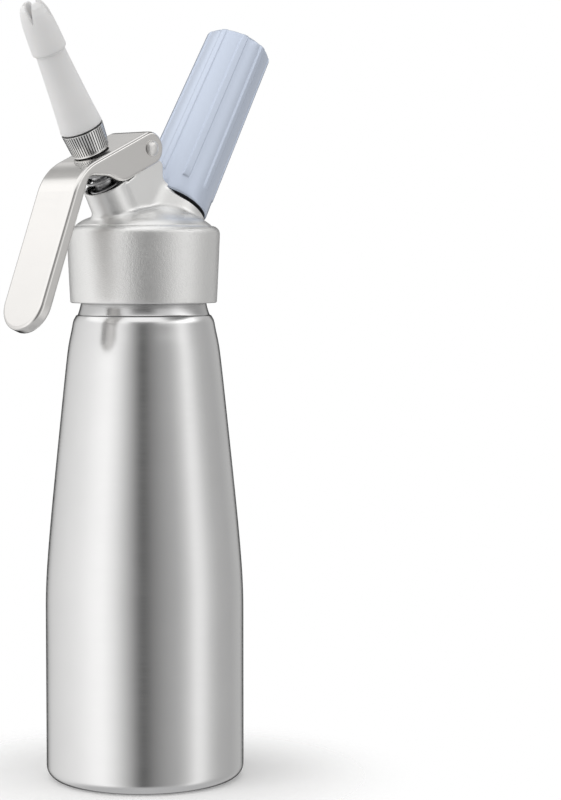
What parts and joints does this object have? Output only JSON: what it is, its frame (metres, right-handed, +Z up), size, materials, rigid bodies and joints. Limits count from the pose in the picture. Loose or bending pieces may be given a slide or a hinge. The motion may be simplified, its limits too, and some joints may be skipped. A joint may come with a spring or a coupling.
{
  "type": "whipped cream dispenser",
  "caption": "Upright pressure bottle with a screw-on cast head, a squeeze lever over a sprung valve stem, a slotted decorating tip and a ribbed gas charger holder.",
  "frame": {"origin": "centre of the bottle's round base, on the surface that it stands on", "axes": "+Z up along the bottle's axis; the mirror plane is XZ; the lever and the tip lean to -X and the charger holder leans to +X"},
  "size_m": [0.1331, 0.078, 0.3007],
  "materials": {
    "brushed_bottle": "satin brushed along its length",
    "satin_casting": "fine bead-blasted casting",
    "polished_lever": "nickel-bright pressed sheet",
    "pin_steel": "polished head",
    "bush_plastic": "plain moulded bearing plastic",
    "black_rubber": "soft matte",
    "red_rubber": "soft matte",
    "grey_gasket": "soft silicone",
    "spring_steel": "drawn wire",
    "stem_steel": "turned",
    "adapter_metal": "straight knurl",
    "white_plastic": "slightly translucent satin moulding",
    "insert_brass": "turned",
    "capsule_steel": "zinc plated",
    "blue_enamel": "glossy pale lavender-blue lacquer"
  },
  "bodies": {
    "bottle": {"bottle": "brushed_bottle"},
    "head_seal": {"head_gasket": "grey_gasket"},
    "head": {"head_casting": "satin_casting", "pivot_pin": "pin_steel", "pivot_washers": "pin_steel", "valve_guide_bush": "bush_plastic", "stem_o_ring": "black_rubber", "valve_spring": "spring_steel", "piercing_insert": "insert_brass", "insert_o_ring": "black_rubber", "piercing_pin": "stem_steel", "charger_seal": "black_rubber", "check_valve_sleeve": "red_rubber"},
    "lever": {"lever": "polished_lever"},
    "stem": {"valve_stem": "stem_steel", "spring_collar": "stem_steel", "poppet_seal": "black_rubber", "poppet_nut": "stem_steel", "tip_adapter": "adapter_metal", "adapter_o_ring": "black_rubber"},
    "tip_ring": {"tip_seal_ring": "black_rubber"},
    "tip": {"decorator_tip": "white_plastic"},
    "charger": {"charger_capsule": "capsule_steel", "charger_cap": "capsule_steel"},
    "holder": {"charger_holder": "blue_enamel"}
  },
  "joints": [
    {"name": "head_lift", "type": "slide", "parent": "bottle", "child": "head_seal", "axis": [0, 0, 1], "range_m": [0, 0.0241]},
    {"name": "head_turn", "type": "hinge", "parent": "head_seal", "child": "head", "pos_m": [0, 0, 0.2], "axis": [0, 0, 1], "range_deg": [0, 2160]},
    {"name": "lever_squeeze", "type": "hinge", "parent": "head", "child": "lever", "pos_m": [-0.0059, 0, 0.247], "axis": [0, -1, 0], "range_deg": [0, 10], "stiffness_Nm_per_rad": 1.5, "springref_deg": -11.46},
    {"name": "stem_press", "type": "slide", "parent": "head", "child": "stem", "axis": [0.5, 0, -0.866], "range_m": [0, 0.0036], "deforming": ["valve_spring"]},
    {"name": "tip_feed", "type": "slide", "parent": "stem", "child": "tip_ring", "axis": [-0.5, 0, 0.866], "range_m": [0, 0.0075]},
    {"name": "tip_turn", "type": "hinge", "parent": "tip_ring", "child": "tip", "pos_m": [-0.033, 0, 0.25416], "axis": [-0.5, 0, 0.866], "range_deg": [0, 1801]},
    {"name": "charger_back", "type": "slide", "parent": "head", "child": "charger", "axis": [0.5231, 0, 0.8523], "range_m": [0, 0.014]},
    {"name": "holder_turn", "type": "hinge", "parent": "charger", "child": "holder", "pos_m": [0.01862, 0, 0.23119], "axis": [0.5231, 0, 0.8523], "range_deg": [0, 2017]}
  ],
  "couplings": [
    {"joint": "head_lift", "follows": "head_turn", "m_per_rad": 0.00063662},
    {"joint": "stem_press", "follows": "lever_squeeze", "m_per_rad": 0.0199},
    {"joint": "tip_turn", "follows": "tip_feed", "rad_per_m": 4188.8},
    {"joint": "holder_turn", "follows": "charger_back", "rad_per_m": 2513.3}
  ]
}
